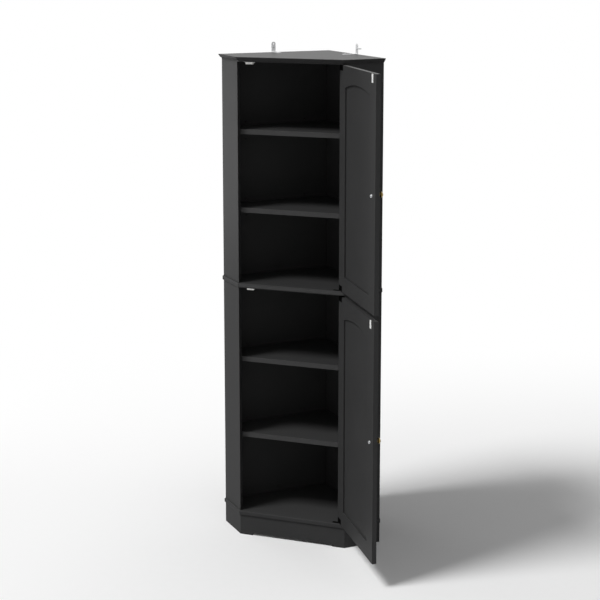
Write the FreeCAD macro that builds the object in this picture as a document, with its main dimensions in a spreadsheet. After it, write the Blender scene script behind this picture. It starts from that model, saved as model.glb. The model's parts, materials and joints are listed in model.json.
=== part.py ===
import FreeCAD, Part
import math
import os
import types

import Sketcher

from FreeCAD import Placement, Rotation, Vector

# Tall corner cabinet, five-sided in plan, in two stacked sections with an inset door on each. The
# room corner is the origin, at floor level. The walls run at 45 degrees to the left and right of
# it, towards -Y, and the front faces -Y. Lengths are millimetres and angles degrees.

SIZES = {
    # Plan: along each wall, and out from the wall at the returns
    "wall_side": 436.0,
    "return_side": 145.0,
    "panel_thick": 16.0,
    "board_thick": 18.0,
    # Heights: plinth, and the clear insides of both sections
    "plinth_tall": 75.0,
    "lower_tall": 857.0,
    "upper_tall": 807.0,
    # Crown: how far it stands out at the returns and the front, and its lip over a hollow
    "crown_side_out": 14.0,
    "crown_front_out": 23.0,
    "crown_lip": 2.5,
    "crown_cove": 12.0,
    "crown_hollow": 24.0,
    "crown_quirk": 1.5,
    "crown_ease": 1.5,
    # Middle and bottom boards: how far they stand out, and their rounded edge
    "bead_out": 5.0,
    "bead_round": 5.0,
    # Plinth feet, and the height of the cut between them
    "foot_long": 48.0,
    "foot_cut": 8.0,
    # Shelves: tops above the floor of their section, set back from the front, room at the panels
    "upper_shelf_high": 562.0,
    "upper_shelf_low": 275.0,
    "lower_shelf_high": 591.0,
    "lower_shelf_low": 300.0,
    "shelf_back": 26.0,
    "shelf_play": 1.0,
    # Shelf pins and their rows of holes
    "pin_radius": 2.5,
    "pin_deep": 8.0,
    "pin_out": 8.0,
    "pin_lug_wide": 7.0,
    "pin_pitch": 32.0,
    "pin_wall_near": 110.0,
    "pin_wall_far": 70.0,
    "pin_return_in": 78.0,
    # Dowels between boards and panels
    "dowel_radius": 4.0,
    "dowel_long": 30.0,
    "joint_deep": 8.0,
    "dowel_wall_in": 55.0,
    "dowel_return_in": 36.0,
    "dowel_front_in": 100.0,
    # Cam fittings: discs in the panels, bolts that stand in the boards
    "cam_return_in": 92.0,
    "cam_radius": 7.5,
    "cam_deep": 12.0,
    "cam_back": 24.0,
    "cam_slot": 2.0,
    "bolt_radius": 3.0,
    "bolt_play": 0.25,
    # Doors: gaps at the sides and ends
    "door_side_gap": 2.5,
    "door_end_gap": 1.5,
    "door_thick": 16.0,
    "door_ease": 1.5,
    # Door frame, its bevel, and its arched panel in a groove
    "stile_wide": 64.0,
    "top_rail": 57.0,
    "bottom_rail": 57.0,
    "arch_rise": 19.0,
    "frame_bevel": 3.5,
    "groove_deep": 10.0,
    "groove_play": 0.1,
    "tongue_play": 1.0,
    "panel_sheet": 6.0,
    "field_raise": 3.0,
    "field_in": 3.0,
    "field_slope": 24.0,
    # Pivot hinges: pin, barrel, the leaf let into the door and the plate let into the board
    "pivot_in": 14.0,
    "pivot_radius": 2.5,
    "pivot_play": 0.05,
    "pivot_reach": 10.0,
    "barrel_radius": 4.5,
    "leaf_long": 38.0,
    "leaf_wide": 13.0,
    "leaf_tall": 19.0,
    "leaf_thick": 2.0,
    "leaf_screw_near": 9.25,
    "leaf_screw_far": 13.0,
    "plate_long": 40.0,
    "plate_wide": 14.0,
    "plate_screw_near": 14.0,
    "plate_screw_far": 27.0,
    # Knobs, turned, with a foot, a neck and a domed head
    "knob_in": 38.0,
    "knob_radius": 10.5,
    "knob_out": 24.0,
    "knob_dome": 6.5,
    "knob_neck": 4.5,
    "knob_foot": 7.5,
    "knob_foot_thick": 2.5,
    "knob_bore": 10.0,
    "knob_screw_radius": 2.0,
    "knob_screw_head": 4.0,
    # Strikes on the doors and magnetic catches under the boards
    "strike_in": 35.5,
    "strike_wide": 13.5,
    "strike_tall": 29.5,
    "strike_thick": 1.5,
    "strike_down": 1.5,
    "strike_screw_out": 8.0,
    "catch_gap": 0.5,
    "catch_wide": 43.0,
    "catch_tall": 10.5,
    "catch_ear": 2.5,
    "catch_rim": 0.5,
    "catch_deep": 14.0,
    "catch_slope": 2.0,
    "pole_wide": 12.0,
    "pole_thick": 1.2,
    "pole_deep": 9.0,
    "pole_space": 3.5,
    # Wall brackets: legs on the walls, feet on the crown, and their holes
    "bracket_at": 230.0,
    "bracket_wide": 16.0,
    "bracket_tall": 38.0,
    "bracket_foot": 60.0,
    "bracket_thick": 2.0,
    "bracket_round": 7.5,
    "bracket_bend": 2.5,
    "bracket_hole": 2.2,
    "leg_hole_low": 19.0,
    "leg_hole_high": 30.0,
    "foot_hole_near": 27.0,
    "foot_hole_far": 49.0,
    # Wood screws, and the longer wall screws
    "screw_head": 3.0,
    "screw_head_tall": 1.5,
    "screw_shank": 1.6,
    "screw_point": 3.0,
    "wall_screw_head": 4.0,
    "wall_screw_shank": 2.0,
    "wall_screw_long": 22.0,
    # How far a cutting shape runs past the face that it cuts
    "overrun": 4.0,
}

ANGLES = {
    # How far the doors stand open at rest, and half a turn
    "door_open": 125.2,
    "half_turn": 180.0,
}

SHARES = {
    # A wood screw's length as a share of a board's thickness
    "screw_share": 0.42,
}


class Size:
    """A size that carries its number and the text that binds a property to the sheet."""

    def __init__(self, value, text):
        self.value = value
        self.text = text

    def __add__(self, other):
        other = sized(other)
        return Size(self.value + other.value, f"({self.text} + {other.text})")

    def __sub__(self, other):
        other = sized(other)
        return Size(self.value - other.value, f"({self.text} - {other.text})")

    def __mul__(self, other):
        other = sized(other)
        return Size(self.value * other.value, f"({self.text} * {other.text})")

    def __truediv__(self, other):
        other = sized(other)
        return Size(self.value / other.value, f"({self.text} / {other.text})")

    def __neg__(self):
        return self * -1


def sized(item):
    return item if isinstance(item, Size) else Size(float(item), repr(float(item)))


def root(item):
    return Size(math.sqrt(item.value), f"sqrt({item.text})")


def make_sheet():
    sheet = doc.addObject("Spreadsheet::Sheet", "Sizes")
    sizes = types.SimpleNamespace()
    for row, (alias, value) in enumerate((SIZES | ANGLES | SHARES).items(), start=1):
        sheet.set(f"A{row}", alias)
        sheet.set(f"B{row}", str(value))
        sheet.setAlias(f"B{row}", alias)
        setattr(sizes, alias, Size(value, f"Sizes.{alias}"))
    doc.recompute()
    return sizes


doc = FreeCAD.newDocument("corner_cabinet")
size = make_sheet()
nodes = []
cuts = []
NONE = sized(0)
ROOT2 = root(sized(2))
UPRIGHT = Vector(0, 0, 1)
AS_DRAWN = Rotation()
UPSIDE_DOWN = Rotation(Vector(1, 0, 0), 180)


# Building blocks


def bind(item, path, value):
    item.setExpression(path, sized(value).text)


def bind_base(item, path, base):
    for axis, value in zip("xyz", base):
        bind(item, f"{path}.Base.{axis}", value)


def new_body(label, turn=0, base=(NONE, NONE, NONE), kept=True):
    """A body turned about the vertical and set at a base point bound to the sheet."""
    body = doc.addObject("PartDesign::Body", label)
    body.Label = label
    body.Placement = Placement(Vector(0, 0, 0), Rotation(UPRIGHT, turn))
    bind_base(body, "Placement", base)
    if kept:
        nodes.append(body)
    return body


def on_plane(body, role, lift=NONE, turn=0, rise=NONE):
    """A sketch on one of the body's planes, lifted off it, raised in it and turned in plan."""
    sketch = body.newObject("Sketcher::SketchObject", f"{body.Label}_sketch")
    planes = [item for item in body.Origin.OriginFeatures if item.Role == role]
    sketch.AttachmentSupport = [(planes[0], "")]
    sketch.MapMode = "FlatFace"
    sketch.AttachmentOffset = Placement(Vector(0, 0, 0), Rotation(Vector(0, 1, 0), turn))
    bind_base(sketch, "AttachmentOffset", (NONE, rise, lift))
    return sketch


def fix_point(sketch, geometry, point, x, y):
    for kind, value in (("DistanceX", x), ("DistanceY", y)):
        index = sketch.addConstraint(Sketcher.Constraint(kind, -1, 1, geometry, point, value.value))
        bind(sketch, f"Constraints[{index}]", value)


def fix_radius(sketch, geometry, radius):
    index = sketch.addConstraint(Sketcher.Constraint("Radius", geometry, radius.value))
    bind(sketch, f"Constraints[{index}]", radius)


def arc_between(start, end, radius, left):
    """The shorter arc from start to end, with its centre to the left or right of the way."""
    way = end - start
    side = Vector(-way.y, way.x, 0).normalize()
    rise = math.sqrt(radius ** 2 - (way.Length / 2) ** 2)
    centre = (start + end) * 0.5 + side * (rise if left else -rise)
    first, last = (start, end) if left else (end, start)
    begin, finish = (math.atan2(item.y - centre.y, item.x - centre.x) for item in (first, last))
    if finish < begin:
        finish += 2 * math.pi
    return Part.ArcOfCircle(Part.Circle(centre, UPRIGHT, radius), begin, finish)


def outline(sketch, corners, arcs=()):
    """A closed outline. arcs gives, for the side after a corner, its radius and centre's side."""
    corners = [(sized(x), sized(y)) for x, y in corners]
    arcs = dict(arcs)
    points = [Vector(x.value, y.value, 0) for x, y in corners]
    sides = []
    for index, start in enumerate(points):
        end = points[(index + 1) % len(points)]
        if index in arcs:
            radius, left = arcs[index]
            geometry = sketch.addGeometry(arc_between(start, end, radius.value, left), False)
            sides.append((geometry, 1, 2) if left else (geometry, 2, 1))
            fix_radius(sketch, geometry, radius)
        else:
            geometry = sketch.addGeometry(Part.LineSegment(start, end), False)
            sides.append((geometry, 1, 2))
    for index, (x, y) in enumerate(corners):
        geometry, first, _ = sides[index]
        before, _, last = sides[index - 1]
        sketch.addConstraint(Sketcher.Constraint("Coincident", before, last, geometry, first))
        fix_point(sketch, geometry, first, x, y)
    return sketch


def circles(sketch, centres, radius):
    for x, y in centres:
        x, y = sized(x), sized(y)
        circle = Part.Circle(Vector(x.value, y.value, 0), UPRIGHT, radius.value)
        geometry = sketch.addGeometry(circle, False)
        fix_radius(sketch, geometry, radius)
        fix_point(sketch, geometry, 3, x, y)
    return sketch


def box_corners(x0, x1, y0, y1):
    return [(x0, y0), (x1, y0), (x1, y1), (x0, y1)]


def pad(body, sketch, length, both=False):
    """Material from the sketch along its normal, or half of the length to each side."""
    feature = body.newObject("PartDesign::Pad", f"{body.Label}_pad")
    feature.Profile = sketch
    feature.SideType = "Symmetric" if both else "One side"
    bind(feature, "Length", length)


def cut(body, sketch, deep):
    """A cut as deep as given to each side of the sketch's plane."""
    feature = body.newObject("PartDesign::Pocket", f"{body.Label}_cut")
    feature.Profile = sketch
    feature.SideType = "Symmetric"
    bind(feature, "Length", sized(deep) * 2)
    cuts.append(feature)


def revolve(body, sketch):
    feature = body.newObject("PartDesign::Revolution", f"{body.Label}_turned")
    feature.Profile = sketch
    feature.ReferenceAxis = (sketch, ["V_Axis"])


def turned_cut(body, sketch):
    """A cut that runs full circle round the sketch's level axis."""
    feature = body.newObject("PartDesign::Groove", f"{body.Label}_turned_cut")
    feature.Profile = sketch
    feature.ReferenceAxis = (sketch, ["H_Axis"])
    cuts.append(feature)


def loft(body, first, last):
    feature = body.newObject("PartDesign::AdditiveLoft", f"{body.Label}_loft")
    feature.Profile = first
    feature.Sections = [last]
    feature.Ruled = True


def round_edges(body, radius, wanted):
    """Rounds the edges of the body's last feature that the wanted test picks."""
    doc.recompute()
    last = body.Tip
    names = [f"Edge{index}" for index, edge in enumerate(last.Shape.Edges, start=1) if wanted(edge)]
    feature = body.newObject("PartDesign::Fillet", f"{body.Label}_round")
    feature.Base = (last, names)
    bind(feature, "Radius", radius)


def middle(edge):
    return edge.valueAt((edge.FirstParameter + edge.LastParameter) / 2)


def near(value, target):
    return abs(value - target.value) < 1e-4


def lies(edge, axis, *targets):
    """Whether an edge lies wholly at one of the targets along an axis."""
    points = [vertex.Point for vertex in edge.Vertexes] + [middle(edge)]
    return any(all(near(getattr(point, axis), target) for point in points) for target in targets)


def copies(label, master, spots, turn=None, base=None):
    """One node of separate solids: a master copied to spots, each a base point and a rotation."""
    links = []
    for point, rotation in spots:
        link = doc.addObject("App::Link", f"{label}_copy")
        link.LinkedObject = master
        link.Placement = Placement(Vector(0, 0, 0), rotation)
        bind_base(link, "Placement", point)
        links.append(link)
    group = doc.addObject("Part::Compound", label)
    group.Label = label
    group.Links = links
    if turn is not None:
        group.Placement = Placement(Vector(0, 0, 0), Rotation(UPRIGHT, turn.value))
        bind(group, "Placement.Rotation.Angle", turn)
        bind_base(group, "Placement", base)
    nodes.append(group)


# Plan and levels


FRONT = (size.wall_side + size.return_side) / ROOT2
FRONT_WIDE = (size.wall_side - size.return_side) * ROOT2
INNER_LONG = size.wall_side - size.panel_thick
PANEL_MIDDLE = size.panel_thick / 2
RETURN_MIDDLE = size.wall_side - PANEL_MIDDLE
CAM_WALL = size.wall_side / 2
DOWEL_IN_PANEL = size.dowel_long - size.joint_deep
PIVOT_X = FRONT_WIDE / 2 - size.door_side_gap - size.pivot_in
PIVOT_Y = size.door_thick / 2 - FRONT


class Wall:
    """One wall's own frame: X along the wall, and the way out from it is out times Y."""

    def __init__(self, name, side):
        self.name = name
        self.side = side
        self.out = -side
        self.turn = 45 * side - 90
        self.outward = Rotation(UPRIGHT, self.turn + 90 * self.out)
        self.backward = Rotation(UPRIGHT, self.turn + 180)

    def spot(self, along, out):
        """A place by this wall, in the cabinet's own plan."""
        return (along - out) / ROOT2 * self.side, -(along + out) / ROOT2

    def local(self, spots):
        """Places along this wall and out from it, in its own frame."""
        return [(along, out * self.out) for along, out in spots]


class Section:
    """One of the two stacked cupboards, between its floor and its roof."""

    def __init__(self, name, floor, tall, shelf_tops):
        self.name = name
        self.floor = floor
        self.tall = tall
        self.roof = floor + tall
        self.shelf_undersides = [top - size.board_thick for top in shelf_tops]
        self.door_tall = tall - size.door_end_gap * 2
        self.door_base = (PIVOT_X, PIVOT_Y, floor + size.door_end_gap)
        self.arch_spring = self.door_tall - size.top_rail - size.arch_rise


WALLS = (Wall("left", -1), Wall("right", 1))
LOWER = Section(
    "lower",
    size.plinth_tall + size.board_thick,
    size.lower_tall,
    (size.lower_shelf_low, size.lower_shelf_high),
)
UPPER = Section(
    "upper",
    LOWER.roof + size.board_thick,
    size.upper_tall,
    (size.upper_shelf_low, size.upper_shelf_high),
)
SECTIONS = (LOWER, UPPER)
TOP = UPPER.roof + size.board_thick

# Places along a wall and out from it, alike by both walls
WALL_DOWELS = [
    (size.panel_thick + size.dowel_wall_in, PANEL_MIDDLE),
    (INNER_LONG - size.dowel_wall_in, PANEL_MIDDLE),
]
RETURN_DOWELS = [(RETURN_MIDDLE, size.dowel_return_in)]
WALL_BOLTS = [(CAM_WALL, PANEL_MIDDLE)]
RETURN_BOLTS = [(RETURN_MIDDLE, size.cam_return_in)]
PIN_PLACES = (size.pin_wall_near, INNER_LONG - size.pin_wall_far)
BRACKET_FEET = [(size.bracket_at, out) for out in (size.foot_hole_near, size.foot_hole_far)]
FRONT_DOWELS = [(size.dowel_front_in * side, PANEL_MIDDLE - FRONT) for side in (-1, 1)]


def in_plan(spots):
    """Places by both walls, in the cabinet's own plan."""
    return [wall.spot(*spot) for wall in WALLS for spot in spots]


def pentagon(wall_in, return_in, front_in):
    """Plan set in from the walls, the returns and the front. A negative value stands out."""
    reach = size.wall_side - return_in
    side_x, side_y = (reach - wall_in) / ROOT2, -(reach + wall_in) / ROOT2
    front_x = (size.wall_side - size.return_side - return_in * 2) / ROOT2 + front_in
    front_y = front_in - FRONT
    corners = [(NONE, -wall_in * ROOT2), (-side_x, side_y), (-front_x, front_y)]
    return corners + [(front_x, front_y), (side_x, side_y)]


# Boards


CATCH_X = size.strike_in + size.door_side_gap - FRONT_WIDE / 2
CATCH_Y = size.door_thick + size.strike_thick + size.catch_gap - FRONT
EAR_LONG = (size.screw_head + size.catch_rim) * 2
EAR_MIDDLE = (size.catch_wide - EAR_LONG) / 2
EAR_SPOTS = [(CATCH_X + EAR_MIDDLE * side, CATCH_Y + size.catch_deep / 2) for side in (-1, 1)]
PLATE_SCREWS = (-size.plate_screw_far, -size.plate_screw_near)
SCREW_LONG = size.board_thick * size.screw_share


def drill(body, level, spots, radius, deep):
    cut(body, circles(on_plane(body, "XY_Plane", level), spots, radius), deep)


def drill_joints(body, level):
    """Dowel and bolt holes in a board's face, over or under the panels."""
    drill(body, level, in_plan(WALL_DOWELS + RETURN_DOWELS), size.dowel_radius, size.joint_deep)
    drill(body, level, in_plan(WALL_BOLTS + RETURN_BOLTS), size.bolt_radius, size.joint_deep)


def plate_outline(sketch, x, y):
    """A pivot plate seen from above, with a round end at the pivot."""
    half, back = size.plate_wide / 2, size.plate_long - size.plate_wide / 2
    corners = [(x - back, y - half), (x, y - half), (x + half, y), (x, y + half), (x - back, y + half)]
    return outline(sketch, corners, {1: (half, True), 2: (half, True)})


def seat_pivot(body, level):
    """The recess and screw holes of a pivot plate in a board's face."""
    cut(body, plate_outline(on_plane(body, "XY_Plane", level), PIVOT_X, PIVOT_Y), size.leaf_thick)
    drill(body, level, [(PIVOT_X + x, PIVOT_Y) for x in PLATE_SCREWS], size.screw_shank, SCREW_LONG)


def free(edge):
    """Whether a board's edge lies off both walls."""
    point = middle(edge)
    return point.y + abs(point.x) < -1e-3


def cove_waste(sketch, edge):
    """What the crown's moulding takes away along an edge at this distance from the origin."""
    shoulder, top = edge - size.crown_quirk, size.board_thick - size.crown_lip
    foot, low = shoulder - size.crown_cove, top - size.crown_cove
    corners = [(-foot, -size.overrun), (-foot, low), (-shoulder, top)]
    corners += [(-edge - size.overrun, top), (-edge - size.overrun, -size.overrun)]
    return outline(sketch, corners, {1: (size.crown_hollow, False)})


def crown_board():
    """The crown: a lip over a shallow cove along the front and both returns, mitred at the corners."""
    body = new_body("crown_board", base=(NONE, NONE, UPPER.roof))
    plan = pentagon(NONE, -size.crown_side_out, -size.crown_front_out)
    pad(body, outline(on_plane(body, "XY_Plane"), plan), size.board_thick)
    round_edges(body, size.crown_ease, lambda edge: lies(edge, "z", size.board_thick) and free(edge))
    side, front = size.wall_side + size.crown_side_out, FRONT + size.crown_front_out
    for turn, edge in ((-45, side), (0, front), (45, side)):
        cut(body, cove_waste(on_plane(body, "YZ_Plane", turn=turn), edge), size.wall_side)
    drill_joints(body, NONE)
    seat_pivot(body, NONE)
    drill(body, NONE, EAR_SPOTS, size.screw_shank, SCREW_LONG)
    drill(body, size.board_thick, in_plan(BRACKET_FEET), size.screw_shank, SCREW_LONG)


def beaded_board(label, level):
    """A board whose free edges stand out as a rounded bead."""
    body = new_body(label, base=(NONE, NONE, level))
    plan = pentagon(NONE, -size.bead_out, -size.bead_out)
    pad(body, outline(on_plane(body, "XY_Plane"), plan), size.board_thick)
    faces = (NONE, size.board_thick)
    round_edges(body, size.bead_round, lambda edge: lies(edge, "z", *faces) and free(edge))
    drill_joints(body, size.board_thick)
    seat_pivot(body, size.board_thick)
    return body


def boards():
    crown_board()
    centre = beaded_board("middle_board", LOWER.roof)
    drill_joints(centre, NONE)
    seat_pivot(centre, NONE)
    drill(centre, NONE, EAR_SPOTS, size.screw_shank, SCREW_LONG)
    bottom = beaded_board("bottom_board", size.plinth_tall)
    dowels = in_plan(WALL_DOWELS + RETURN_DOWELS) + FRONT_DOWELS
    drill(bottom, NONE, dowels, size.dowel_radius, size.joint_deep)


# Panels and plinth, in the frames of their walls


def wall_plan(wall):
    start = NONE if wall.name == "left" else size.panel_thick
    return wall.local(box_corners(start, INNER_LONG, NONE, size.panel_thick))


def return_plan(wall):
    """A return's front end is square to the cabinet's front, for the door to close against."""
    end = size.return_side - size.panel_thick
    outside, inside = size.wall_side, INNER_LONG
    return wall.local([(outside, NONE), (outside, size.return_side), (inside, end), (inside, NONE)])


def pin_levels(section):
    """Heights of the pin holes of one section, three for each shelf."""
    seats = [underside - size.pin_radius for underside in section.shelf_undersides]
    return [seat + size.pin_pitch * step for seat in seats for step in (-1, 0, 1)]


def drill_ends(body, section, dowels, bolts):
    for level in (NONE, section.tall):
        drill(body, level, dowels, size.dowel_radius, DOWEL_IN_PANEL)
        drill(body, level, bolts, size.bolt_radius + size.bolt_play, size.cam_back)


def drill_face(body, section, face, pins, cam):
    """Pin holes and cam seats in a panel's inner face, at places across it."""
    holes = [(place, level) for place in pins for level in pin_levels(section)]
    cut(body, circles(on_plane(body, *face), holes, size.pin_radius), size.pin_deep)
    cams = [(cam, level) for level in (size.cam_back, section.tall - size.cam_back)]
    cut(body, circles(on_plane(body, *face), cams, size.cam_radius), size.cam_deep)


def wall_panel(wall, section):
    body = new_body(f"{section.name}_{wall.name}_wall_panel", wall.turn, (NONE, NONE, section.floor))
    pad(body, outline(on_plane(body, "XY_Plane"), wall_plan(wall)), section.tall)
    drill_ends(body, section, wall.local(WALL_DOWELS), wall.local(WALL_BOLTS))
    drill_face(body, section, ("XZ_Plane", -size.panel_thick * wall.out), PIN_PLACES, CAM_WALL)


def return_panel(wall, section):
    body = new_body(f"{section.name}_{wall.name}_return", wall.turn, (NONE, NONE, section.floor))
    pad(body, outline(on_plane(body, "XY_Plane"), return_plan(wall)), section.tall)
    drill_ends(body, section, wall.local(RETURN_DOWELS), wall.local(RETURN_BOLTS))
    pins, cam = [size.pin_return_in * wall.out], size.cam_return_in * wall.out
    drill_face(body, section, ("YZ_Plane", INNER_LONG), pins, cam)


def plinth_piece(label, turn, plan, dowels):
    body = new_body(label, turn)
    pad(body, outline(on_plane(body, "XY_Plane"), plan), size.plinth_tall)
    drill(body, size.plinth_tall, dowels, size.dowel_radius, DOWEL_IN_PANEL)
    return body


def plinth():
    """The plinth's five pieces. The front one has a shallow cut between two feet."""
    half, reach = FRONT_WIDE / 2, FRONT_WIDE / 2 - size.foot_long
    plan = box_corners(-half, half, -FRONT, size.panel_thick - FRONT)
    front = plinth_piece("plinth_front", 0, plan, FRONT_DOWELS)
    tall, low = size.foot_cut, -size.overrun
    corners = [(-reach, low), (reach, low), (reach, NONE), (reach - tall, tall)]
    corners += [(tall - reach, tall), (-reach, NONE)]
    gap = outline(on_plane(front, "XZ_Plane", FRONT), corners, {2: (tall, True), 4: (tall, True)})
    cut(front, gap, size.panel_thick + size.overrun)
    for wall in WALLS:
        ends = (("return", return_plan(wall), RETURN_DOWELS), ("wall_rail", wall_plan(wall), WALL_DOWELS))
        for name, plan, dowels in ends:
            plinth_piece(f"plinth_{wall.name}_{name}", wall.turn, plan, wall.local(dowels))


def panels():
    for section in SECTIONS:
        for wall in WALLS:
            wall_panel(wall, section)
            return_panel(wall, section)


# Shelves and their pins


def shelves():
    room = size.panel_thick + size.shelf_play
    for section in SECTIONS:
        for name, underside in zip(("low", "high"), section.shelf_undersides):
            body = new_body(f"{section.name}_shelf_{name}", base=(NONE, NONE, section.floor + underside))
            plan = pentagon(room, room, size.shelf_back)
            pad(body, outline(on_plane(body, "XY_Plane"), plan), size.board_thick)


def pin_master():
    """A pin that points along +X out of the panel's face, with a flat lug under the shelf."""
    body = new_body("pin_master", kept=False)
    peg = circles(on_plane(body, "YZ_Plane", -size.pin_deep), [(NONE, NONE)], size.pin_radius)
    pad(body, peg, size.pin_deep)
    half = size.pin_lug_wide / 2
    lug = box_corners(-half, half, -size.pin_radius, size.pin_radius)
    pad(body, outline(on_plane(body, "YZ_Plane"), lug), size.pin_out)
    return body


def shelf_pins():
    master = pin_master()
    for section in SECTIONS:
        spots = []
        for underside in section.shelf_undersides:
            level = section.floor + underside - size.pin_radius
            for wall in WALLS:
                for along in PIN_PLACES:
                    spots.append(((*wall.spot(along, size.panel_thick), level), wall.outward))
                spots.append(((*wall.spot(INNER_LONG, size.pin_return_in), level), wall.backward))
        copies(f"{section.name}_shelf_pins", master, spots)


# Fittings between boards and panels


def dowels():
    master = new_body("dowel_master", kept=False)
    drawn = circles(on_plane(master, "XY_Plane"), [(NONE, NONE)], size.dowel_radius)
    pad(master, drawn, size.dowel_long)
    places = in_plan(WALL_DOWELS + RETURN_DOWELS)
    ends = [(places + FRONT_DOWELS, size.plinth_tall - DOWEL_IN_PANEL)]
    for section in SECTIONS:
        ends.append((places, section.floor - size.joint_deep))
        ends.append((places, section.roof - DOWEL_IN_PANEL))
    copies("dowels", master, [((x, y, low), AS_DRAWN) for spots, low in ends for x, y in spots])


def cam_disc_master():
    """A disc that fills its seat behind the panel's face, with a bore for the bolt and a slot."""
    body = new_body("cam_disc_master", kept=False)
    disc = circles(on_plane(body, "YZ_Plane", -size.cam_deep), [(NONE, NONE)], size.cam_radius)
    pad(body, disc, size.cam_deep)
    across = size.cam_radius + size.overrun
    drill(body, NONE, [(-PANEL_MIDDLE, NONE)], size.bolt_radius + size.bolt_play, across)
    half = size.cam_slot / 2
    slot = box_corners(-half, half, -size.bolt_radius, size.bolt_radius)
    cut(body, outline(on_plane(body, "YZ_Plane"), slot), size.cam_slot)
    return body


def cam_fittings():
    """Bolts that stand in the boards, and the discs in the panels that draw them tight."""
    bolt = new_body("cam_bolt_master", kept=False)
    drawn = circles(on_plane(bolt, "XY_Plane"), [(NONE, NONE)], size.bolt_radius)
    pad(bolt, drawn, size.joint_deep + size.cam_back)
    bolts, discs = [], []
    for section in SECTIONS:
        for x, y in in_plan(WALL_BOLTS + RETURN_BOLTS):
            bolts.append(((x, y, section.floor - size.joint_deep), AS_DRAWN))
            bolts.append(((x, y, section.roof - size.cam_back), AS_DRAWN))
        for level in (section.floor + size.cam_back, section.roof - size.cam_back):
            for wall in WALLS:
                discs.append(((*wall.spot(CAM_WALL, size.panel_thick), level), wall.outward))
                discs.append(((*wall.spot(INNER_LONG, size.cam_return_in), level), wall.backward))
    copies("cam_bolts", bolt, bolts)
    copies("cam_discs", cam_disc_master(), discs)


# Screws. Each master points down -Z, with the top of its head at Z = 0.


def screw_master(label, head, shank, long):
    body = new_body(label, kept=False)
    under, point = -size.screw_head_tall, size.screw_point - long
    corners = [(NONE, NONE), (head, NONE), (head, under), (shank, under), (shank, point), (NONE, -long)]
    revolve(body, outline(on_plane(body, "XZ_Plane"), corners))
    return body


def countersink(body, role, face, spots):
    """Holes in a thin plate for screws whose heads sit flush with its face."""
    cut(body, circles(on_plane(body, role, face), spots, size.screw_head), size.screw_head_tall)
    cut(body, circles(on_plane(body, role, face), spots, size.screw_shank), size.leaf_thick)


def carcass_screws(small):
    ends = [(section.roof, UPSIDE_DOWN) for section in SECTIONS]
    ends += [(section.floor, AS_DRAWN) for section in SECTIONS]
    spots = [((PIVOT_X + x, PIVOT_Y, level), way) for level, way in ends for x in PLATE_SCREWS]
    copies("pivot_plate_screws", small, spots)
    below = size.catch_ear + size.screw_head_tall
    spots = [((x, y, section.roof - below), UPSIDE_DOWN) for section in SECTIONS for x, y in EAR_SPOTS]
    copies("catch_screws", small, spots)
    level = TOP + size.bracket_thick + size.screw_head_tall
    copies("bracket_screws", small, [((x, y, level), AS_DRAWN) for x, y in in_plan(BRACKET_FEET)])


# Pivot plates and catches


def pivot_plate(label, level, side):
    """A plate let into a board's face, with the pin that the door turns on. side is its way."""
    body = new_body(label, base=(PIVOT_X, PIVOT_Y, level))
    drawn = plate_outline(on_plane(body, "XY_Plane", -size.leaf_thick / 2 * side), NONE, NONE)
    pad(body, drawn, size.leaf_thick, both=True)
    reach = size.door_end_gap + size.pivot_reach
    pin = circles(on_plane(body, "XY_Plane", reach / 2 * side), [(NONE, NONE)], size.pivot_radius)
    pad(body, pin, reach, both=True)
    countersink(body, "XY_Plane", NONE, [(x, NONE) for x in PLATE_SCREWS])


def pivot_plates():
    for section in SECTIONS:
        pivot_plate(f"{section.name}_top_pivot_plate", section.roof, -1)
        pivot_plate(f"{section.name}_bottom_pivot_plate", section.floor, 1)


POLE_MIDDLE = -(size.catch_ear + size.catch_tall) / 2
POLE_LEVELS = (POLE_MIDDLE + size.pole_space / 2, POLE_MIDDLE - size.pole_space / 2 - size.pole_thick)


def catch(section):
    """A catch with two ears, and slots for the pole plates in its front face."""
    body = new_body(f"{section.name}_catch", base=(CATCH_X, CATCH_Y, section.roof))
    ear, under, low = size.catch_wide / 2, -size.catch_ear, -size.catch_tall
    shoulder = ear - EAR_LONG
    waist = shoulder - size.catch_slope
    corners = [(-ear, NONE), (-ear, under), (-shoulder, under), (-waist, low)]
    corners += [(waist, low), (shoulder, under), (ear, under), (ear, NONE)]
    front_view = outline(on_plane(body, "XZ_Plane", -size.catch_deep / 2), corners)
    pad(body, front_view, size.catch_deep, both=True)
    half = size.pole_wide / 2
    for level in POLE_LEVELS:
        slot = box_corners(-half, half, level, level + size.pole_thick)
        cut(body, outline(on_plane(body, "XZ_Plane"), slot), size.pole_deep)
    holes = [(EAR_MIDDLE * side, size.catch_deep / 2) for side in (-1, 1)]
    drill(body, NONE, holes, size.screw_shank, size.catch_ear + size.overrun)


def catches():
    master, half = new_body("pole_master", kept=False), size.pole_wide / 2
    plan = box_corners(-half, half, NONE, size.pole_deep)
    pad(master, outline(on_plane(master, "XY_Plane"), plan), size.pole_thick)
    spots = []
    for section in SECTIONS:
        catch(section)
        for level in POLE_LEVELS:
            spots.append(((CATCH_X, CATCH_Y, section.roof + level), AS_DRAWN))
    copies("catch_poles", master, spots)


# Wall brackets


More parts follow.
